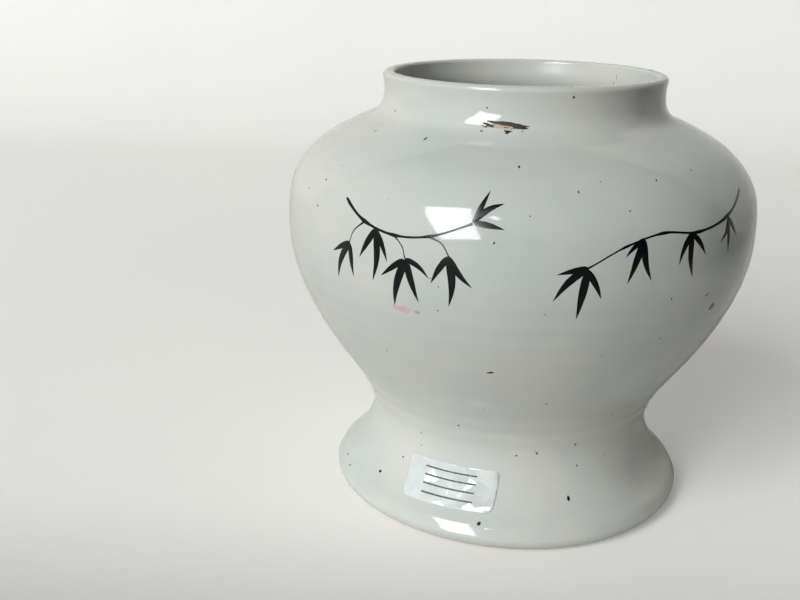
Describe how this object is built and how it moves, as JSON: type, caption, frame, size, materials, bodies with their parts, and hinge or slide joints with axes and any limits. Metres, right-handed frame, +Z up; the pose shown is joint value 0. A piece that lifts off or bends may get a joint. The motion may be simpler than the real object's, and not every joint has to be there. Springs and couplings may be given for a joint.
{
  "type": "porcelain jar",
  "caption": "Baluster porcelain jar with a short straight neck, swelling shoulders, a narrow waist and a spreading foot; open at the top.",
  "frame": {"origin": "centre of the foot ring's resting face", "axes": "+Z up along the jar's axis; -Y is the front that carries the brushed decoration"},
  "size_m": [0.1416, 0.1416, 0.131],
  "materials": {
    "glaze": "glossy pale grey-green white glaze with iron specks",
    "floor_glaze": "glossy pale grey-green white glaze",
    "slip": "fired clay slip, matt where bare",
    "label_film": "thin clear film label, glossy"
  },
  "bodies": {
    "root": {"neck_collar": "glaze", "shoulder_section": "glaze", "lower_body": "glaze", "spreading_foot": "glaze", "floor_disc": "floor_glaze", "neck_slip_seam": "slip", "belly_slip_seam": "slip", "waist_slip_seam": "slip", "floor_slip_seam": "slip", "foot_label": "label_film"}
  },
  "joints": []
}
